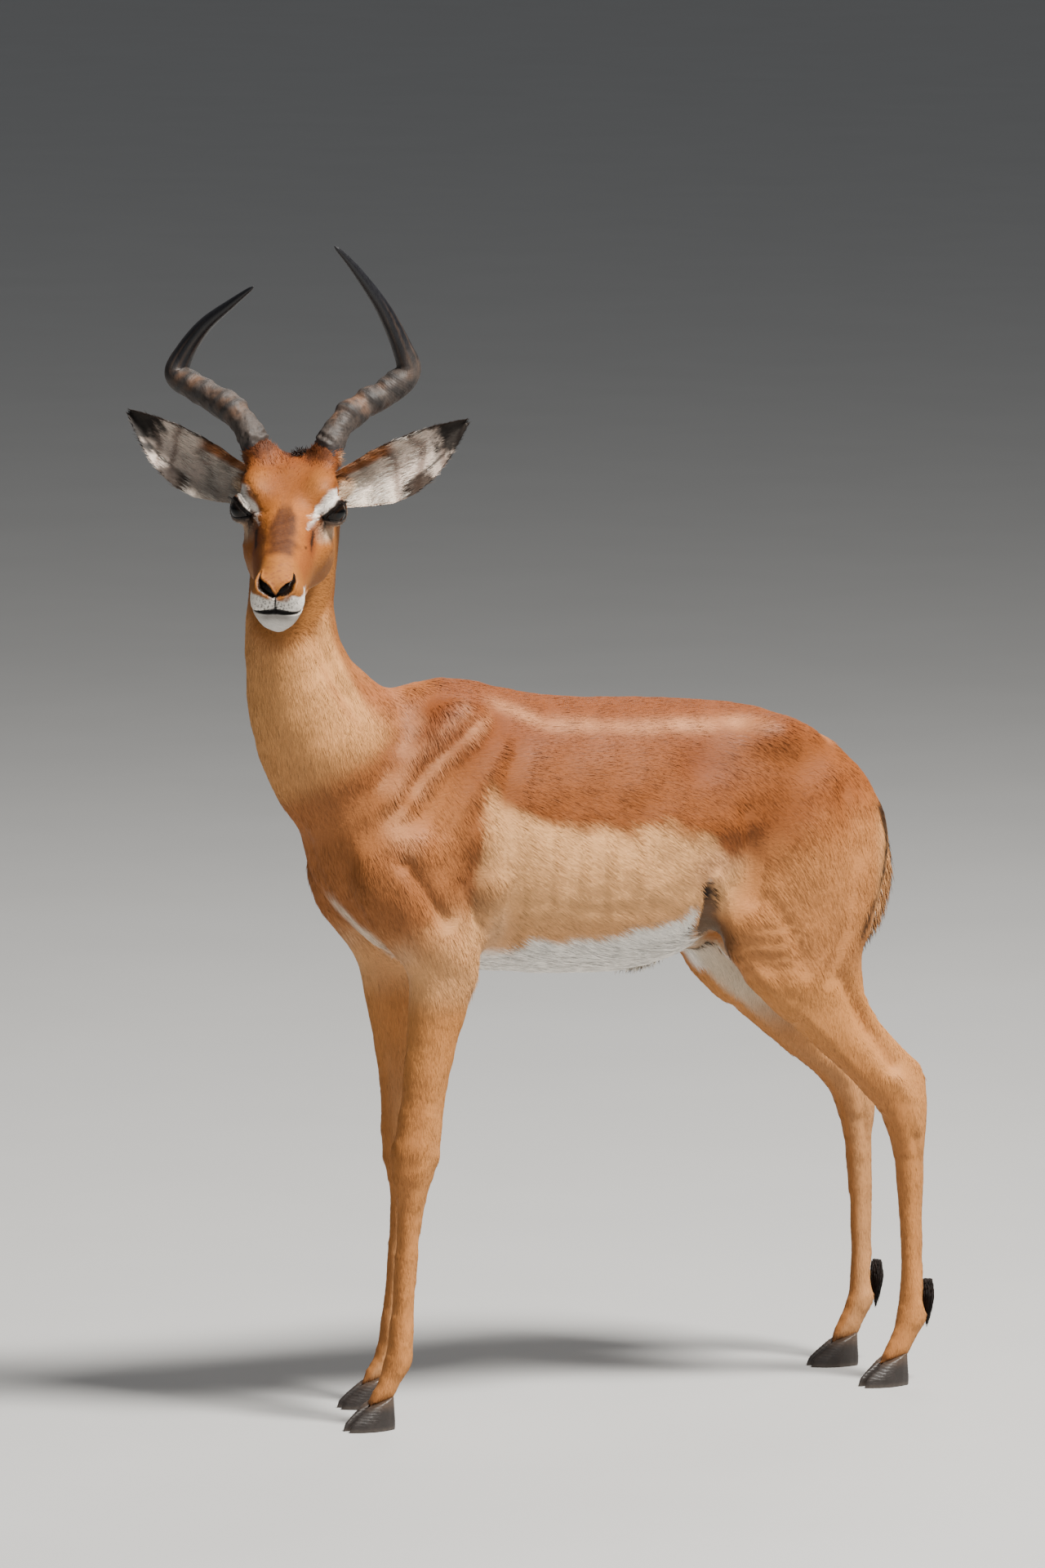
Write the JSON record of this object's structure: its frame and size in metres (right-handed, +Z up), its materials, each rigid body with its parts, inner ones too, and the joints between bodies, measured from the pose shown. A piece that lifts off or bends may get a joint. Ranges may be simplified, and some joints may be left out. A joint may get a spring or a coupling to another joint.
{
  "type": "impala antelope",
  "caption": "Life-size standing impala ram, a still model with its head turned to its left, ringed lyre-shaped horns, spread ears and cloven hooves.",
  "frame": {"origin": "middle of the model's box on the floor, under the feet", "axes": "+Z up; the body faces -Y and its left side is +X"},
  "size_m": [0.3586, 0.9916, 1.3843],
  "materials": {
    "coat": "short glossy hair, reddish brown above, fawn on the flanks and legs, white below",
    "horn": "ringed grey-brown keratin with smooth black tips",
    "hoof": "worn black keratin",
    "eye": "wet, nearly black",
    "black_hair": "short black hair"
  },
  "bodies": {
    "root": {"ear_left": "coat", "ear_right": "coat", "eye_left": "eye", "eye_right": "eye", "fetlock_tuft_left": "black_hair", "fetlock_tuft_right": "black_hair", "fore_cannon_left": "coat", "fore_cannon_right": "coat", "fore_pastern_left": "coat", "fore_pastern_right": "coat", "forearm_left": "coat", "forearm_right": "coat", "gaskin_left": "coat", "gaskin_right": "coat", "head": "coat", "hind_cannon_left": "coat", "hind_cannon_right": "coat", "hind_pastern_left": "coat", "hind_pastern_right": "coat", "hoof_fore_left_inner": "hoof", "hoof_fore_left_outer": "hoof", "hoof_fore_right_inner": "hoof", "hoof_fore_right_outer": "hoof", "hoof_hind_left_inner": "hoof", "hoof_hind_left_outer": "hoof", "hoof_hind_right_inner": "hoof", "hoof_hind_right_outer": "hoof", "horn_left": "horn", "horn_right": "horn", "lower_jaw": "coat", "neck": "coat", "rump": "coat", "tail": "coat", "trunk": "coat"}
  },
  "joints": []
}
